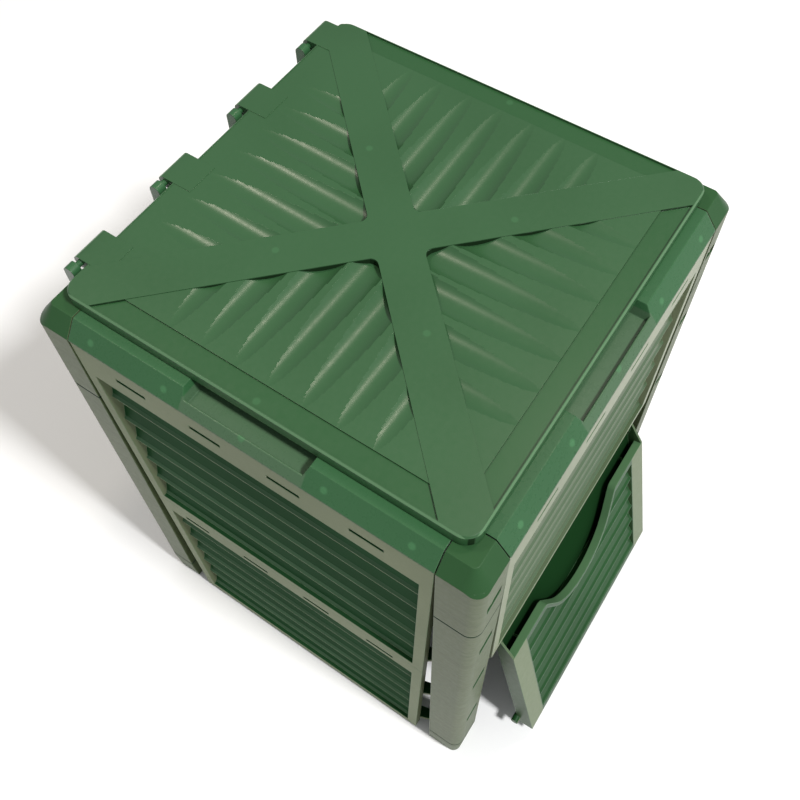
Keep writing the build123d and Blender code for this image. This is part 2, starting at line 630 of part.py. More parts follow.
def door():
    """A louvred flap with a deep edge, an arched grip pocket, hinge pins and latch pegs."""
    front = -DOOR_PROUD
    rear = front + DOOR_DEPTH
    skin = front + DOOR_WALL
    inside = DOOR_HALF - DOOR_WALL
    full = outline(
        (-DOOR_HALF, DOOR_FOOT_Z),
        (DOOR_HALF, DOOR_FOOT_Z),
        (DOOR_HALF, DOOR_LIP_Z),
        (-DOOR_HALF, DOOR_LIP_Z),
    )
    field_half = DOOR_HALF - DOOR_STILE
    field_from = DOOR_FOOT_Z + DOOR_BOTTOM_RAIL
    field_to = DOOR_LIP_Z - DOOR_TOP_RAIL
    field = outline(
        (-field_half, field_from),
        (field_half, field_from),
        (field_half, field_to),
        (-field_half, field_to),
    ) - arch_face(ARCH_RIM)
    face = full - arch_face(0)
    near_arch = face.vertices().filter_by_position(Axis.X, -ARCH_HALF - 1, ARCH_HALF + 1)
    face = fillet(near_arch.group_by(Axis.Y)[-1], ARCH_SHOULDER_RADIUS)
    flap = slab(face - field, front, skin)
    floor_z = DOOR_LIP_Z - ARCH_DEPTH - POCKET_FLOOR_DROP
    above_floor = Pos(0, (floor_z + DOOR_TOP_Z) / 2) * Rectangle(2 * inside, DOOR_TOP_Z - floor_z)
    pocket = front + ARCH_FLANGE
    flap += slab((face - offset(face, -DOOR_WALL)) & above_floor, front, pocket)
    flap += slab(face & above_floor, pocket - DOOR_WALL, pocket)
    clip = slab(field, front, rear - DOOR_WALL / 2) - slab(above_floor, pocket - DOOR_WALL / 2, rear)
    for slat in louvres(field_from, field_to, DOOR_SLAT_PITCH, front + DOOR_SLAT_FRONT, clip):
        flap += slat
    collar = Pos(field_half, (field_from + field_to) / 2) * Rectangle(DOOR_WALL, field_to - field_from)
    flap += both_sides(slab(collar, front, rear))
    flap += slab(above_floor, rear - DOOR_WALL, rear)
    shelf = Pos(0, floor_z + DOOR_WALL / 2) * Rectangle(2 * inside, DOOR_WALL)
    flap += slab(shelf, pocket - DOOR_WALL, rear)
    sill = Pos(0, DOOR_FOOT_Z + DOOR_WALL / 2) * Rectangle(2 * inside, DOOR_WALL)
    flap += slab(sill, front, rear)
    cheek = outline(
        (front, DOOR_FOOT_Z),
        (rear, DOOR_FOOT_Z),
        (rear, DOOR_TOP_Z),
        (rear - DOOR_WALL, DOOR_TOP_Z),
        (front, DOOR_LIP_Z),
    )
    ear_start = DOOR_HALF - DOOR_EAR_WALL
    side = beam(cheek, inside, DOOR_HALF)
    side += rod(DOOR_EAR_RADIUS, ear_start, DOOR_HALF, DOOR_AXIS_Y, DOOR_AXIS_Z)
    pin_end = POST_INNER + POST_WALL + DOOR_PIN_PAST_LIP
    side += rod(DOOR_PIN_RADIUS, ear_start, pin_end, DOOR_AXIS_Y, DOOR_AXIS_Z)
    side += rod(DOOR_PIN_RADIUS, ear_start, DOOR_HALF + DOOR_PEG_LENGTH, rear - HALF, DOOR_PEG_Z)
    flap += both_sides(side)
    swing = Pos(0, DOOR_AXIS_Y, DOOR_AXIS_Z) * Rot(-DOOR_AJAR, 0, 0) * Pos(0, -DOOR_AXIS_Y, -DOOR_AXIS_Z)
    return swing * flap


# Placing and writing the pieces

def write(name, shape):
    """One file for each piece, in the frame of the whole bin."""
    export_step(Pos(0, CENTRE_SHIFT, 0) * shape, f"parts/{name}.step")


def write_corner(name, shape, mirrored_shape=None):
    """A corner piece at all four corners, its windows kept in the front and back legs."""
    front_shape = mirrored_shape if mirrored_shape is not None else shape
    write(f"{name}_back_right", shape)
    write(f"{name}_back_left", mirror(shape, about=Plane.YZ))
    write(f"{name}_front_right", mirror(front_shape, about=Plane.XZ))
    write(f"{name}_front_left", Rot(0, 0, 180) * front_shape)


RING = rim_ring()
write_corner("corner_cap", corner_cap(RING))
write_corner("corner_post", corner_post(), front_corner_post())
write_corner("corner_foot", corner_foot())

SIDE_TURNS = {"front": 0, "right": 90, "back": 180, "left": 270}
GRIP_RAIL = grip_rail(RING)
for side_name, turn in SIDE_TURNS.items():
    across = side_name in ("left", "right")
    rail = hinge_rail(RING) if side_name == "back" else GRIP_RAIL
    write(f"rim_rail_{side_name}", Rot(0, 0, turn) * rail)
    write(f"upper_panel_{side_name}", Rot(0, 0, turn) * upper_panel(across, side_name != "front"))
    if side_name != "front":
        write(f"lower_panel_{side_name}", Rot(0, 0, turn) * lower_panel(across))

write("lid", lid())
write("door", door())
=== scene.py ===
import math

import bmesh
import bpy
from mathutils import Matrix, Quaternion, Vector


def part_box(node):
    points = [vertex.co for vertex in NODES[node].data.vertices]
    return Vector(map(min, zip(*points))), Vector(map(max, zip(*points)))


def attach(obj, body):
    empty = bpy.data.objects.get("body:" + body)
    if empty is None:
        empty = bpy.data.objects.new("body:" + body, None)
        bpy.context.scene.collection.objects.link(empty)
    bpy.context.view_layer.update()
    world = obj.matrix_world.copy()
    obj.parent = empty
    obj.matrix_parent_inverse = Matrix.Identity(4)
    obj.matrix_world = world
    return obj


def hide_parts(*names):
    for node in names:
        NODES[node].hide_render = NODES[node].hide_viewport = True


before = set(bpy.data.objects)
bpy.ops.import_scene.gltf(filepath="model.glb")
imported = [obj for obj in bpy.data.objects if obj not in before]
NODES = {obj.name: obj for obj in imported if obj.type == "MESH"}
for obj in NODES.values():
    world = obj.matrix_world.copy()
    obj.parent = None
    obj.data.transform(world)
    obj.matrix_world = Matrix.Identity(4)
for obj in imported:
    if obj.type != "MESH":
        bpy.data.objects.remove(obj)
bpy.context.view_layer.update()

# Looks of the compost bin: satin green moulded plastic on a white studio floor.
# Lengths are metres in the CAD frame: the door side is -Y, the lid's hinge is at +Y, +Z is up.

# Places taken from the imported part
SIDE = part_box("rim_rail_left")
MIDDLE_Y = (SIDE[0][1] + SIDE[1][1]) / 2
LID_TOP_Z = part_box("lid")[1][2]

# Photo's camera: angles in degrees, lens and sensor in millimetres
EYE = Vector((-0.5782, -0.3688, 1.7284))
AZIMUTH = -56.18
ELEVATION = 56.5
ROLL = -0.51
LENS = 44.34
SENSOR = 36.0
SHIFT = (-0.017, -0.1)

# Colours, as linear red, green and blue
LID_GREEN = (0.032, 0.097, 0.037, 1)
LID_SHADE = (0.027, 0.085, 0.031, 1)
# Painted shade: the lid's sunk border is coloured darker than the lid
BORDER_PAINTED_SHADE = (0.022, 0.084, 0.027, 1)
RIM_GREEN = (0.034, 0.113, 0.044, 1)
RIM_SHADE = (0.028, 0.098, 0.037, 1)
# Painted highlight: paler colour on the grip lip of each shoulder
GRIP_PAINTED_HIGHLIGHT = (0.075, 0.135, 0.075, 1)
CAP_GREEN = (0.026, 0.084, 0.029, 1)
CAP_SHADE = (0.021, 0.070, 0.023, 1)
# Painted shade: the dark colour of the lid's creases beside the bands and of the posts' seams
PAINTED_SHADE_DARK = (0.012, 0.030, 0.012, 1)
# Painted shade: slats of every panel but the front one, coloured darker than the plastic
SLAT_PAINTED_SHADE = (0.019, 0.074, 0.027, 1)
SLAT_MOTTLE_PAINTED_SHADE = (0.014, 0.060, 0.020, 1)
# Painted light: the front panel, coloured paler than the same plastic elsewhere
FRONT_SLAT_PAINTED_LIGHT = (0.088, 0.126, 0.068, 1)
FRONT_SLAT_MOTTLE_PAINTED_LIGHT = (0.070, 0.108, 0.054, 1)
# Painted highlight: paler colour on the slats' noses
NOSE_PAINTED_HIGHLIGHT = (0.062, 0.125, 0.068, 1)
DOOR_GREEN = (0.018, 0.074, 0.022, 1)
DOOR_SHADE = (0.013, 0.058, 0.016, 1)
# Painted shade: the near-black inside of the door's grip pocket
POCKET_PAINTED_SHADE = (0.008, 0.034, 0.010, 1)
# Painted light: paler colour on the door's upper rim
DOOR_RIM_PAINTED_LIGHT = (0.075, 0.165, 0.075, 1)
# Painted reflection: pale olive on the door's front-facing stiles
STILE_PAINTED_REFLECTION = (0.140, 0.180, 0.090, 1)
# Painted reflection: pale olive on upright faces of the posts and the door; the streak colour is real
POST_PAINTED_REFLECTION = (0.090, 0.112, 0.050, 1)
POST_STREAK = (0.060, 0.080, 0.032, 1)
# Painted reflection: pale olive on the panels' upright faces
PANEL_PAINTED_REFLECTION = (0.222, 0.250, 0.150, 1)
MARK_GREEN = (0.070, 0.220, 0.090, 1)
# Painted highlight: paler colour on rounded edges and on the lid's rim
EDGE_PAINTED_HIGHLIGHT = (0.130, 0.250, 0.130, 1)
FLOOR_WHITE = (0.99, 0.99, 0.99, 1)
FLOOR_PALE = (0.98, 0.98, 0.98, 1)

# Corrugated fields of the lid: four triangles between the crossed bands, with round valleys
FIELD_EDGE = 0.239
HINGE_FIELD_EDGE = 0.267
BAND_HALF_CROSS = 0.055 / math.sqrt(2)
CROSS_RADIUS = 0.010
FIELD_DROP = 0.0008
FIELD_LENGTH = FIELD_EDGE - BAND_HALF_CROSS
WAVE_PITCH = 0.045
WAVE_DEPTH = 0.0095
WAVES_EACH_SIDE = 3
VALLEY_RADIUS = 0.030
STEEPEST = 0.9 * VALLEY_RADIUS

# Mesh of those fields: more rows near the tip, evenly spaced columns
WAVE_ROWS = 48
ROW_GROWTH = 1.2
WAVE_STEP = 0.0015
WELD_DISTANCE = 1e-6
LEVEL_LEAST_UP = 0.3
SHARP_ANGLE = math.radians(25)

# Gate marks: round spots left by the mould, paced along the shoulder and set out on the lid
MARK_RADIUS = 0.0042
MARK_OUTER = 1.25
MARK_INNER = 0.75
RIM_MARK_PACE = 0.107
RIM_MARK_Z = 0.803
RIM_MARK_STRENGTH = 0.5
SHOULDER_STRETCH = 1.25
BAND_MARK = (0.094, 0.103, 0.0)
BORDER_MARK = (0.259, 0.0, 0.0)
LID_MARK_STRENGTH = 0.2

# Grip lip in the middle of each shoulder, with a paler painted highlight
GRIP_HALF = 0.083
GRIP_LIP_Z = 0.807
GRIP_HIGHLIGHT_STRENGTH = 0.7

# Edges of the lid's sunk border, painted in shade, and of its rim, which has a painted highlight
LID_RIM_EDGE = 0.2675
LID_RIM_HIGHLIGHT_STRENGTH = 0.6
BORDER_TOP_Z = 0.8343
BORDER_SIDE_FADE = 0.0008
BORDER_TOP_FADE = 0.0006

# Door: its hinge axis, how far it stands ajar, and its grip pocket in painted shade and stiles with
# painted reflection, when shut
DOOR_AXIS = (0.0, -0.24543, 0.340)
DOOR_AJAR = math.radians(12)
POCKET_FRONT_Y = -0.2620
POCKET_FLOOR_Z = 0.208
POCKET_HALF = 0.1987
STILE_INNER = 0.166
STILE_REFLECTION_STRENGTH = 0.85

# Corner posts: seams under the cap and over the foot, painted in shade, and level streaks
# over the painted reflection on their upright faces
SEAM_DEPTH = 0.0050
SEAM_TOPS = (0.6605, 0.0625)
STREAK_SCALE = (5.0, 5.0, 150.0)
STREAK_LIMITS = (0.45, 0.65)
STREAK_STRENGTH = 0.6

# Widths over which a painted edge fades
HAIR_FADE = 0.0003
THIN_FADE = 0.0005
SOFT_FADE = 0.001

# Slopes that pick faces out, as parts of the normal: start, full and, for a range, fade and end
LIP_SLOPES = (0.3, 0.5, 0.9, 0.95)
NOSE_SLOPES = (0.4, 0.5, 0.7, 0.8)
STEEP_SLOPES = (0.35, 0.2)
LEVEL_SLOPES = (0.9, 0.95)
UPRIGHT_SLOPES = (0.15, 0.05)
STILE_FACING = (-0.9, -0.97)
DOOR_RIM_UP = (0.4, 0.48)
DOOR_RIM_FRONT = (-0.4, -0.3)

# Plastic: sizes of its mottle, speckle and grain, and the limits between which each one works
MOTTLE_SCALE = 4.0
MOTTLE_LIMITS = (0.38, 0.62)
SPECKLE_SCALE = 140.0
SPECKLE_ROUGHNESS = 0.6
SPECKLE_LIMITS = (0.45, 0.75)
SPECKLE_STRENGTH = 0.15
# Painted reflection on upright faces: how the mottle varies it
REFLECTION_LIMITS = (0.3, 0.7)
REFLECTION_LEAST = 0.8
# Painted highlight on edges: where it shows, and how the speckle varies it
EDGE_LIMITS = (0.97, 0.80)
EDGE_HIGHLIGHT_LIMITS = (0.3, 0.6)
EDGE_HIGHLIGHT_LEAST = 0.25
GRAIN_STRETCH = (12.0, 12.0, 210.0)
FINE_SCALE = 900.0
FINE_SHARE = 0.3
BUMP_STRENGTH = 0.25
BUMP_DISTANCE = 0.0005
GLOSS_LIMITS = (0.3, 0.7)
GLOSS_BELOW = 0.03
GLOSS_ABOVE = 0.04
PLASTIC_IOR = 1.5
ROUNDING_SAMPLES = 6
EDGE_ROUNDING = 0.0016
LID_ROUNDING = 0.0003

# Studio floor
FLOOR_SIZE = 7.0
FLOOR_Z = -0.0005
FLOOR_CLOUD_SCALE = 0.8
FLOOR_CLOUD_LIMITS = (0.3, 0.7)
FLOOR_ROUGHNESS = 0.7
FLOOR_SPECULAR = 0.2

# Studio light: square lamps with their power in watts, and the surround
WHITE_LIGHT = (1.0, 1.0, 1.0)
WARM_LIGHT = (1.0, 0.90, 0.76)
LAMPS = {
    "key": {
        "place": (-0.35, -4.2, 6.6), "target": (0, 0, 0.4), "size": 0.8, "power": 510, "colour": WHITE_LIGHT,
    },
    "back": {
        "place": (-0.4, 1.85, 4.2), "target": (0, 0, 0.8), "size": 0.5, "power": 32, "colour": WARM_LIGHT,
    },
    "above": {
        "place": (1.6, -0.4, 4.4), "target": (0, 0, 0.8), "size": 0.4, "power": 22, "colour": WARM_LIGHT,
    },
}
BACKDROP_WHITE = (1, 1, 1, 1)
BACKDROP_STRENGTH = 1.0
SURROUND_WHITE = (0.97, 0.98, 1.0, 1)
SURROUND_STRENGTH = 0.39


class Tree:
    """A material's node tree, with short ways to add and join its nodes."""

    def __init__(self, name):
        self.material = bpy.data.materials.new(name)
        self.material.use_nodes = True
        self.nodes = self.material.node_tree.nodes
        self.links = self.material.node_tree.links
        self.nodes.clear()

    def add(self, kind, inputs=None, **settings):
        """A new node, with its settings and with values or sockets on its inputs."""
        node = self.nodes.new(kind)
        for key, value in settings.items():
            setattr(node, key, value)
        for key, value in (inputs or {}).items():
            self.feed(node.inputs[key], value)
        return node

    def feed(self, socket, value):
        """Link a socket to an input, or write a value on it."""
        if isinstance(value, bpy.types.NodeSocket):
            self.links.new(value, socket)
        else:
            socket.default_value = value

    def noise(self, vector, scale, detail=3.0, roughness=0.5):
        """Noise from 0 to 1."""
        node = self.add("ShaderNodeTexNoise", {
            "Vector": vector, "Scale": scale, "Detail": detail, "Roughness": roughness,
        })
        return node.outputs["Fac"]

    def ramp(self, value, low, high, to_low=0.0, to_high=1.0):
        """A straight ramp between two limits, level beyond them."""
        node = self.add("ShaderNodeMapRange", {
            "Value": value, "From Min": low, "From Max": high, "To Min": to_low, "To Max": to_high,
        }, clamp=True)
        return node.outputs["Result"]

    def between(self, value, start, full, fade, end):
        """1 from full to fade, falling to 0 at start and at end."""
        return self.both(self.ramp(value, start, full), self.ramp(value, end, fade))

    def math(self, operation, a, b=0.0):
        """One arithmetic step."""
        node = self.add("ShaderNodeMath", {0: a, 1: b}, operation=operation)
        return node.outputs[0]

    def both(self, *masks):
        """The product of masks and strengths."""
        product = masks[0]
        for mask in masks[1:]:
            product = self.math("MULTIPLY", product, mask)
        return product

    def axes(self, vector):
        """The three parts of a vector."""
        parts = self.add("ShaderNodeSeparateXYZ", {"Vector": vector}).outputs
        return parts["X"], parts["Y"], parts["Z"]

    def turned(self, vector, angle, centre=(0.0, 0.0, 0.0)):
        """A vector turned about a line along X."""
        turn = {"Vector": vector, "Center": centre, "Angle": angle}
        return self.add("ShaderNodeVectorRotate", turn, rotation_type="X_AXIS").outputs["Vector"]

    def spot(self, x, y, centre, radius):
        """A round spot with a soft edge."""
        point = self.add("ShaderNodeCombineXYZ", {"X": x, "Y": y}).outputs["Vector"]
        away = self.add("ShaderNodeVectorMath", {0: point, 1: centre}, operation="DISTANCE")
        return self.ramp(away.outputs["Value"], MARK_OUTER * radius, MARK_INNER * radius)

    def mix(self, factor, a, b):
        """Colour a where the factor is 0, colour b where it is 1."""
        node = self.add("ShaderNodeMix", data_type="RGBA")
        for socket, value in zip((node.inputs[0], node.inputs[6], node.inputs[7]), (factor, a, b)):
            self.feed(socket, value)
        return node.outputs[2]


# Each detail function paints one kind of piece.
# It returns the colour and a mask of where the plastic has no shine, or None.


def lid_detail(tree, place, normal, colour):
    """The lid's sunk border in painted shade, a painted highlight on its rim, painted shade in the creases
    beside the bands, and gate marks.
    """
    x, y, z = tree.axes(place)
    up = tree.axes(normal)[2]
    across = tree.math("ABSOLUTE", x)
    along = tree.math("SUBTRACT", y, MIDDLE_Y)
    length = tree.math("ABSOLUTE", along)
    outwards = tree.math("MAXIMUM", across, length)
    off_hinge = tree.math("MAXIMUM", across, tree.math("MULTIPLY", along, -1.0))
    # Painted shade: the sunk border is coloured darker
    border_shade = tree.both(
        tree.ramp(off_hinge, FIELD_EDGE - BORDER_SIDE_FADE, FIELD_EDGE),
        tree.ramp(z, BORDER_TOP_Z, BORDER_TOP_Z - BORDER_TOP_FADE),
    )
    colour = tree.mix(border_shade, colour, BORDER_PAINTED_SHADE)
    # Painted highlight on the slanted faces of the lid's rim
    rim = tree.ramp(outwards, LID_RIM_EDGE, LID_RIM_EDGE + HAIR_FADE)
    lip_highlight = tree.both(rim, tree.between(up, *LIP_SLOPES))
    colour = tree.mix(tree.both(lip_highlight, LID_RIM_HIGHLIGHT_STRENGTH), colour, EDGE_PAINTED_HIGHLIGHT)
    # Painted shade on the steep walls beside the bands, which also lose their shine
    crease_shade = tree.both(
        tree.ramp(tree.math("ABSOLUTE", up), *STEEP_SLOPES),
        tree.ramp(z, LID_TOP_Z - FIELD_DROP, LID_TOP_Z - 2 * FIELD_DROP),
        tree.ramp(outwards, HINGE_FIELD_EDGE, HINGE_FIELD_EDGE - SOFT_FADE),
    )
    colour = tree.mix(crease_shade, colour, PAINTED_SHADE_DARK)
    marks = tree.math(
        "MAXIMUM",
        tree.spot(across, length, BAND_MARK, MARK_RADIUS),
        tree.spot(across, along, BORDER_MARK, MARK_RADIUS),
    )
    marks = tree.both(marks, tree.ramp(up, *LEVEL_SLOPES), LID_MARK_STRENGTH)
    return tree.mix(marks, colour, MARK_GREEN), crease_shade


def rim_detail(sideways):
    """The shoulder's row of gate marks and a painted highlight on its grip lip, along Y if sideways,
    else along X.
    """
    def detail(tree, place, normal, colour):
        x, y, z = tree.axes(place)
        along = tree.math("SUBTRACT", y, MIDDLE_Y) if sideways else x
        span = {0: along, 1: RIM_MARK_PACE / 2, 2: -RIM_MARK_PACE / 2}
        wrapped = tree.add("ShaderNodeMath", span, operation="WRAP").outputs[0]
        drop = tree.math("MULTIPLY", tree.math("SUBTRACT", z, RIM_MARK_Z), SHOULDER_STRETCH)
        marks = tree.spot(wrapped, drop, (0.0, 0.0, 0.0), MARK_RADIUS)
        # Painted highlight: paler colour on the grip span below the lip's height
        lip_highlight = tree.both(
            tree.ramp(tree.math("ABSOLUTE", along), GRIP_HALF, GRIP_HALF - SOFT_FADE),
            tree.ramp(z, GRIP_LIP_Z + THIN_FADE, GRIP_LIP_Z),
        )
        colour = tree.mix(tree.both(lip_highlight, GRIP_HIGHLIGHT_STRENGTH), colour, GRIP_PAINTED_HIGHLIGHT)
        return tree.mix(tree.both(marks, RIM_MARK_STRENGTH), colour, MARK_GREEN), None
    return detail


def post_detail(tree, place, normal, colour):
    """Faint level streaks on the posts' upright faces, over their painted reflection, and painted shade
    in the seams under cap and over foot.
    """
    z = tree.axes(place)[2]
    upness = tree.math("ABSOLUTE", tree.axes(normal)[2])
    level = tree.add("ShaderNodeMapping", {"Vector": place, "Scale": STREAK_SCALE}).outputs["Vector"]
    streak = tree.ramp(tree.noise(level, 1.0), *STREAK_LIMITS)
    streak = tree.both(streak, tree.ramp(upness, *UPRIGHT_SLOPES), STREAK_STRENGTH)
    colour = tree.mix(streak, colour, POST_STREAK)
    # Painted shade in the seams under the cap and over the foot
    for top in SEAM_TOPS:
        foot = top - SEAM_DEPTH
        seam_shade = tree.between(z, foot, foot + HAIR_FADE, top - HAIR_FADE, top)
        colour = tree.mix(seam_shade, colour, PAINTED_SHADE_DARK)
    return colour, None


def door_detail(tree, place, normal, colour):
    """The door's grip pocket in painted shade, painted light on its upper rim and painted reflection on its
    stiles, set out on the shut door.
    """
    x, y, z = tree.axes(tree.turned(place, DOOR_AJAR, DOOR_AXIS))
    front, up = tree.axes(tree.turned(normal, DOOR_AJAR))[1:]
    aside = tree.math("ABSOLUTE", x)
    behind = tree.ramp(y, POCKET_FRONT_Y, POCKET_FRONT_Y + THIN_FADE)
    above = tree.ramp(z, POCKET_FLOOR_Z - SOFT_FADE, POCKET_FLOOR_Z)
    # Painted reflection on the front-facing faces of the stiles
    stile_reflection = tree.both(
        tree.ramp(aside, STILE_INNER - THIN_FADE, STILE_INNER),
        tree.ramp(front, *STILE_FACING),
        STILE_REFLECTION_STRENGTH,
    )
    colour = tree.mix(stile_reflection, colour, STILE_PAINTED_REFLECTION)
    # Painted light on faces of the upper rim that face up and forward
    rim = tree.both(tree.ramp(up, *DOOR_RIM_UP), tree.ramp(front, *DOOR_RIM_FRONT), above)
    colour = tree.mix(rim, colour, DOOR_RIM_PAINTED_LIGHT)
    # Painted shade in the grip pocket, which also loses its shine
    pocket_shade = tree.both(behind, above, tree.ramp(aside, POCKET_HALF, POCKET_HALF - THIN_FADE))
    return tree.mix(pocket_shade, colour, POCKET_PAINTED_SHADE), pocket_shade


def plastic(name, light, shade, gloss, grain, sheen=0.5, reflection_colour=POST_PAINTED_REFLECTION, reflection_strength=0.0, nose_highlight=0.0,
            edge_highlight=0.4, rounding=EDGE_ROUNDING, detail=None):
    """Satin moulded plastic: mottled colour, painted reflection on upright faces, painted highlights on
    slat noses and edges, grain.

    gloss is the roughness and sheen the specular level; reflection_colour is the painted reflection's
    colour and reflection_strength its strength; nose_highlight and edge_highlight are the strengths of
    the painted highlights on noses and edges; grain is the bump's.
    """
    tree = Tree(name)
    source = tree.add("ShaderNodeTexCoord")
    place = source.outputs["Object"]
    normal = source.outputs["Normal"]
    up = tree.axes(normal)[2]
    mottle = tree.noise(place, MOTTLE_SCALE, 2.0)
    speckle = tree.noise(place, SPECKLE_SCALE, 4.0, SPECKLE_ROUGHNESS)
    colour = tree.mix(tree.ramp(mottle, *MOTTLE_LIMITS), shade, light)
    colour = tree.mix(tree.ramp(speckle, *SPECKLE_LIMITS, 0.0, SPECKLE_STRENGTH), colour, light)

    # Painted reflection: upright faces turn pale olive, a little less where the mottle is dark
    upright = tree.ramp(tree.math("ABSOLUTE", up), *UPRIGHT_SLOPES, 0.0, reflection_strength)
    reflected = tree.both(upright, tree.ramp(mottle, *REFLECTION_LIMITS, REFLECTION_LEAST, 1.0))
    colour = tree.mix(reflected, colour, reflection_colour)
    # Painted highlight on the slat noses
    colour = tree.mix(tree.both(tree.between(up, *NOSE_SLOPES), nose_highlight), colour, NOSE_PAINTED_HIGHLIGHT)
    shine = sheen
    if detail is not None:
        colour, dull = detail(tree, place, normal, colour)
        if dull is not None:
            shine = tree.ramp(dull, 0.0, 1.0, sheen, 0.0)

    # Painted highlight on edges, where the rounded normal turns away from the face's own
    geometry = tree.add("ShaderNodeNewGeometry")
    rounded = tree.add("ShaderNodeBevel", {"Radius": rounding}, samples=ROUNDING_SAMPLES)
    agree = tree.add("ShaderNodeVectorMath", {
        0: rounded.outputs["Normal"], 1: geometry.outputs["Normal"],
    }, operation="DOT_PRODUCT")
    edge = tree.ramp(agree.outputs["Value"], *EDGE_LIMITS)
    edge_highlight_mask = tree.both(edge, tree.ramp(speckle, *EDGE_HIGHLIGHT_LIMITS, EDGE_HIGHLIGHT_LEAST * edge_highlight, edge_highlight))
    colour = tree.mix(edge_highlight_mask, colour, EDGE_PAINTED_HIGHLIGHT)

    stretched = tree.add("ShaderNodeMapping", {"Vector": place, "Scale": GRAIN_STRETCH})
    drawn = tree.noise(stretched.outputs["Vector"], 1.0, 2.0)
    fine = tree.noise(place, FINE_SCALE, 2.0)
    bump = tree.add("ShaderNodeBump", {
        "Strength": BUMP_STRENGTH, "Distance": BUMP_DISTANCE, "Normal": rounded.outputs["Normal"],
        "Height": tree.math("ADD", tree.both(drawn, grain), tree.both(fine, FINE_SHARE * grain)),
    })
    satin = tree.ramp(speckle, *GLOSS_LIMITS, gloss - GLOSS_BELOW, gloss + GLOSS_ABOVE)
    shader = tree.add("ShaderNodeBsdfPrincipled", {
        "Base Color": colour, "Roughness": satin, "Normal": bump.outputs["Normal"],
        "Specular IOR Level": shine, "IOR": PLASTIC_IOR,
    })
    tree.add("ShaderNodeOutputMaterial", {"Surface": shader.outputs["BSDF"]})
    return tree.material


def floor_material():
    """A plain white floor with the faintest unevenness, so that it keeps the bin's shadow."""
    tree = Tree("studio_floor")
    place = tree.add("ShaderNodeTexCoord").outputs["Object"]
    cloud = tree.ramp(tree.noise(place, FLOOR_CLOUD_SCALE, 2.0), *FLOOR_CLOUD_LIMITS)
    colour = tree.mix(cloud, FLOOR_WHITE, FLOOR_PALE)
    shader = tree.add("ShaderNodeBsdfPrincipled", {
        "Base Color": colour, "Roughness": FLOOR_ROUGHNESS, "Specular IOR Level": FLOOR_SPECULAR,
    })
    tree.add("ShaderNodeOutputMaterial", {"Surface": shader.outputs["BSDF"]})
    return tree.material


def dress():
    """Give each CAD node the plastic of its group, and return the lid's."""
    lid = plastic(
        "lid_plastic", LID_GREEN, LID_SHADE, gloss=0.31, grain=0.1,
        rounding=LID_ROUNDING, detail=lid_detail,
    )
    rim_across = plastic(
        "rim_plastic", RIM_GREEN, RIM_SHADE, gloss=0.28, grain=0.2, sheen=0.35, detail=rim_detail(False),
    )
    rim_along = plastic(
        "side_rim_plastic", RIM_GREEN, RIM_SHADE, gloss=0.28, grain=0.2, sheen=0.35, detail=rim_detail(True),
    )
    post = plastic(
        "post_plastic", CAP_GREEN, CAP_SHADE, gloss=0.42, grain=1.0, sheen=0.15,
        reflection_strength=0.95, detail=post_detail,
    )
    # Painted shade: side and back panels take darker slats; they also get painted reflection and highlights
    panel = plastic(
        "panel_plastic", SLAT_PAINTED_SHADE, SLAT_MOTTLE_PAINTED_SHADE, gloss=0.36, grain=0.3, sheen=0.02,
        reflection_colour=PANEL_PAINTED_REFLECTION, reflection_strength=0.9, nose_highlight=1.0, edge_highlight=1.0,
    )
    # Painted light: the front panel takes paler slats
    front = plastic(
        "front_panel_plastic", FRONT_SLAT_PAINTED_LIGHT, FRONT_SLAT_MOTTLE_PAINTED_LIGHT, gloss=0.36, grain=0.3, sheen=0.2,
        reflection_colour=PANEL_PAINTED_REFLECTION, reflection_strength=0.9, nose_highlight=0.4, edge_highlight=1.0,
    )
    door = plastic(
        "door_plastic", DOOR_GREEN, DOOR_SHADE, gloss=0.38, grain=0.3, sheen=0.2,
        reflection_strength=0.3, edge_highlight=1.0, detail=door_detail,
    )
    # The first start of a name that fits decides, so the front panel comes before the other panels.
    groups = {
        "lid": lid,
        "rim_rail_left": rim_along,
        "rim_rail_right": rim_along,
        "rim_rail_front": rim_across,
        "rim_rail_back": rim_across,
        "corner": post,
        "upper_panel_front": front,
        "upper_panel": panel,
        "lower_panel": panel,
        "door": door,
    }
    for name, node in NODES.items():
        for start, material in groups.items():
            if name.startswith(start):
                node.data.materials.clear()
                node.data.materials.append(material)
                break
    return lid


def sectors():
    """The four fields: the cosine and sine of each one's turn, and where it ends."""
    found = []
    for turn in range(4):
        angle = math.radians(90 * turn)
        edge = HINGE_FIELD_EDGE if turn == 2 else FIELD_EDGE
        found.append((math.cos(angle), math.sin(angle), edge))
    return found


def in_sector(c, s, point):
    """A point's place across a field, and its distance from the middle of the lid."""
    y = point.y - MIDDLE_Y
    return c * point.x + s * y, s * point.x - c * y


def field_half_width(v):
    """Half the width of a field at a distance from the middle of the lid; its tip is round."""
    arc_middle = BAND_HALF_CROSS + CROSS_RADIUS * math.sqrt(2)
    if v < arc_middle - CROSS_RADIUS / math.sqrt(2):
        return math.sqrt(max(0.0, CROSS_RADIUS ** 2 - (arc_middle - v) ** 2))
    return v - BAND_HALF_CROSS


def valley_middle(u):
    """Where the nearest valley's deepest line lies across the field."""
    return WAVE_PITCH * max(-WAVES_EACH_SIDE, min(WAVES_EACH_SIDE, round(u / WAVE_PITCH)))


def wave_depth(u, v):
    """How far a round valley lies below the field: nothing at the rim, deepest near the middle."""
    share = min(1.0, max(0.0, (FIELD_EDGE - v) / FIELD_LENGTH))
    off = min(VALLEY_RADIUS, abs(u - valley_middle(u)))
    return max(0.0, WAVE_DEPTH * share - VALLEY_RADIUS + math.sqrt(VALLEY_RADIUS ** 2 - off ** 2))


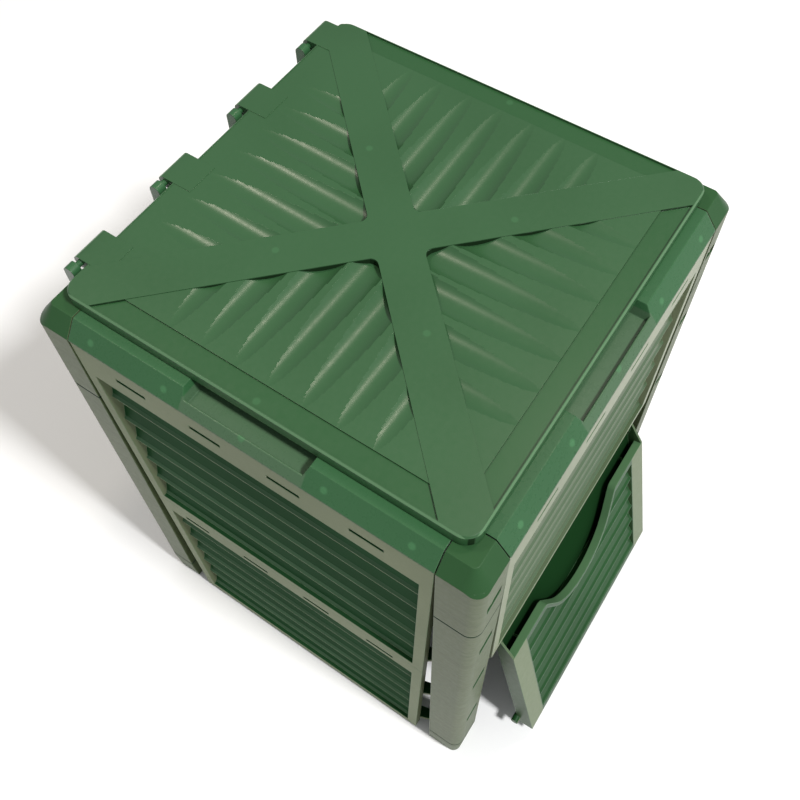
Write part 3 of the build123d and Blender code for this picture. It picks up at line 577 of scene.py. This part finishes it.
def valley_normal(u, middle):
    """The way that a valley's round wall faces: across the field, along it and upwards."""
    off = max(-STEEPEST, min(STEEPEST, u - middle))
    lean = -off / math.sqrt(VALLEY_RADIUS ** 2 - off ** 2)
    return Vector((lean, -WAVE_DEPTH / FIELD_LENGTH, 1.0)).normalized()


def is_replaced(face):
    """Whether a face of the CAD lid is the floor of a field or the upright wall round it."""
    centre = face.calc_center_median()
    if centre.z > LID_TOP_Z - FIELD_DROP / 3 or centre.z < LID_TOP_Z - WAVE_DEPTH - 2 * FIELD_DROP:
        return False
    for c, s, edge in sectors():
        u, v = in_sector(c, s, centre)
        if not BAND_HALF_CROSS < v < edge:
            continue
        inward = field_half_width(v) - abs(u)
        is_floor = face.normal.z > LEVEL_LEAST_UP and inward > 0
        is_wall = abs(face.normal.z) < LEVEL_LEAST_UP and abs(inward) < FIELD_DROP / 2
        if is_floor or is_wall:
            return True
    return False


def field_rows(mesh, c, s, edge, end):
    """Rows of points over a field, from its tip to its edge.

    A row holds its points by column, with -end and end for its two last ones, and over those two
    the points at the height of the bands.
    """
    first = BAND_HALF_CROSS + CROSS_RADIUS * (math.sqrt(2) - 1)
    columns = range(1 - end, end)
    rows = []
    for i in range(WAVE_ROWS + 1):
        v = first + (edge - first) * (i / WAVE_ROWS) ** ROW_GROWTH
        half = field_half_width(v)
        places = {-end: -half}
        places.update((k, k * WAVE_STEP) for k in columns if abs(k * WAVE_STEP) < half - WAVE_STEP / 4)
        places[end] = half
        row = {}
        for key, u in places.items():
            z = LID_TOP_Z - FIELD_DROP - wave_depth(u, v)
            row[key] = mesh.verts.new((c * u + s * v, MIDDLE_Y + s * u - c * v, z))
        rim = [mesh.verts.new((row[key].co.x, row[key].co.y, LID_TOP_Z)) for key in (-end, end)]
        rows.append((row, rim))
    return rows


def stitch(mesh, row, next_row):
    """Faces between two rows, the next one as long or longer, joined column by column.

    A column that the shorter row lacks is joined to that row's nearer end.
    """
    ends = (row[min(row)], row[max(row)])

    def near(key):
        return row.get(key, ends[0] if key <= 0 else ends[1])

    faces = []
    keys = sorted(next_row)
    for left, right in zip(keys, keys[1:]):
        corners = [near(left), near(right), next_row[right], next_row[left]]
        faces.append(mesh.faces.new(list(dict.fromkeys(corners))))
    return faces


def add_fields(mesh):
    """Add the four corrugated fields and the walls up to the bands, and return each field face's turn."""
    sheets = {}
    for c, s, edge in sectors():
        end = math.ceil(field_half_width(edge) / WAVE_STEP) + 1
        rows = field_rows(mesh, c, s, edge, end)
        for (row, rim), (next_row, next_rim) in zip(rows, rows[1:]):
            for face in stitch(mesh, row, next_row):
                sheets[face] = (c, s)
            mesh.faces.new((row[-end], next_row[-end], next_rim[0], rim[0]))
            mesh.faces.new((row[end], rim[1], next_rim[1], next_row[end]))
    bmesh.ops.recalc_face_normals(mesh, faces=[face for face in mesh.faces if len(face.verts) == 4])
    for face in sheets:
        if face.normal.z < 0:
            face.normal_flip()
    mesh.faces.index_update()
    return {face.index: turn for face, turn in sheets.items()}


def shade_fields(data, sheets):
    """Exact normals on the fields, so that crests stay crisp; the other faces keep their own."""
    normals = [Vector((0.0, 0.0, 0.0))] * len(data.loops)
    for index, (c, s) in sheets.items():
        face = data.polygons[index]
        u, v = in_sector(c, s, face.center)
        in_valley = wave_depth(u, v) > 0.0
        middle = valley_middle(u)
        for corner in face.loop_indices:
            normal = Vector((0.0, 0.0, 1.0))
            if in_valley:
                point = data.vertices[data.loops[corner].vertex_index].co
                normal = valley_normal(in_sector(c, s, point)[0], middle)
            normals[corner] = Vector((c * normal.x + s * normal.y, s * normal.x - c * normal.y, normal.z))
    data.normals_split_custom_set(normals)


def dressed_lid(material):
    """The lid with finely meshed round valleys in place of the CAD's coarser ones."""
    mesh = bmesh.new()
    mesh.from_mesh(NODES["lid"].data)
    bmesh.ops.remove_doubles(mesh, verts=mesh.verts, dist=WELD_DISTANCE)
    doomed = [face for face in mesh.faces if is_replaced(face)]
    bmesh.ops.delete(mesh, geom=doomed, context="FACES")
    sheets = add_fields(mesh)
    data = bpy.data.meshes.new("lid_dressed")
    mesh.to_mesh(data)
    mesh.free()
    # The CAD mesh's own normals no longer fit the new faces.
    if "custom_normal" in data.attributes:
        data.attributes.remove(data.attributes["custom_normal"])
    for face in data.polygons:
        face.use_smooth = True
    data.set_sharp_from_angle(angle=SHARP_ANGLE)
    shade_fields(data, sheets)
    data.materials.append(material)
    piece = bpy.data.objects.new("lid_dressed", data)
    bpy.context.scene.collection.objects.link(piece)
    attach(piece, "lid_body")
    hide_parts("lid")


def plane(name, size, location, material):
    """A square sheet lying flat."""
    half = size / 2
    corners = [(-half, -half, 0), (half, -half, 0), (half, half, 0), (-half, half, 0)]
    mesh = bpy.data.meshes.new(name)
    mesh.from_pydata(corners, [], [(0, 1, 2, 3)])
    mesh.materials.append(material)
    sheet = bpy.data.objects.new(name, mesh)
    sheet.location = location
    bpy.context.scene.collection.objects.link(sheet)
    return sheet


def area_light(name, place, target, size, power, colour):
    """A soft square light that points at a target."""
    data = bpy.data.lights.new(name, "AREA")
    data.shape = "SQUARE"
    data.size = size
    data.energy = power
    data.color = colour
    lamp = bpy.data.objects.new(name, data)
    lamp.location = place
    lamp.rotation_euler = (Vector(target) - Vector(place)).to_track_quat("-Z", "Y").to_euler()
    bpy.context.scene.collection.objects.link(lamp)


def surround():
    """An even surround: white where the camera sees it, softer where it lights the bin."""
    world = bpy.data.worlds.new("studio_world")
    bpy.context.scene.world = world
    world.use_nodes = True
    nodes = world.node_tree.nodes
    links = world.node_tree.links
    nodes.clear()
    path = nodes.new("ShaderNodeLightPath")
    shown = nodes.new("ShaderNodeMath")
    shown.operation = "MAXIMUM"
    white = nodes.new("ShaderNodeBackground")
    white.inputs["Color"].default_value = BACKDROP_WHITE
    white.inputs["Strength"].default_value = BACKDROP_STRENGTH
    soft = nodes.new("ShaderNodeBackground")
    soft.inputs["Color"].default_value = SURROUND_WHITE
    soft.inputs["Strength"].default_value = SURROUND_STRENGTH
    choose = nodes.new("ShaderNodeMixShader")
    out = nodes.new("ShaderNodeOutputWorld")
    links.new(path.outputs["Is Camera Ray"], shown.inputs[0])
    links.new(path.outputs["Is Transmission Ray"], shown.inputs[1])
    links.new(shown.outputs[0], choose.inputs[0])
    links.new(soft.outputs[0], choose.inputs[1])
    links.new(white.outputs[0], choose.inputs[2])
    links.new(choose.outputs[0], out.inputs["Surface"])


def studio():
    """White floor, a key light from the door side, two weak warm lights and an even surround."""
    plane("studio_floor_sheet", FLOOR_SIZE, (0, 0, FLOOR_Z), floor_material())
    for name, lamp in LAMPS.items():
        area_light(name, **lamp)
    surround()


def photo_camera():
    """The camera at the photo's place."""
    data = bpy.data.cameras.new("photo_camera")
    data.sensor_width = SENSOR
    data.lens = LENS
    data.shift_x, data.shift_y = SHIFT
    camera = bpy.data.objects.new("photo_camera", data)
    bpy.context.scene.collection.objects.link(camera)
    a = math.radians(AZIMUTH)
    e = math.radians(ELEVATION)
    back = Vector((math.sin(a) * math.cos(e), -math.cos(a) * math.cos(e), math.sin(e)))
    roll = Quaternion((0, 0, 1), math.radians(ROLL))
    camera.location = EYE
    camera.rotation_mode = "QUATERNION"
    camera.rotation_quaternion = (-back).to_track_quat("-Z", "Y") @ roll
    bpy.context.scene.camera = camera


dressed_lid(dress())
studio()
photo_camera()
bpy.context.scene.view_settings.view_transform = "Standard"
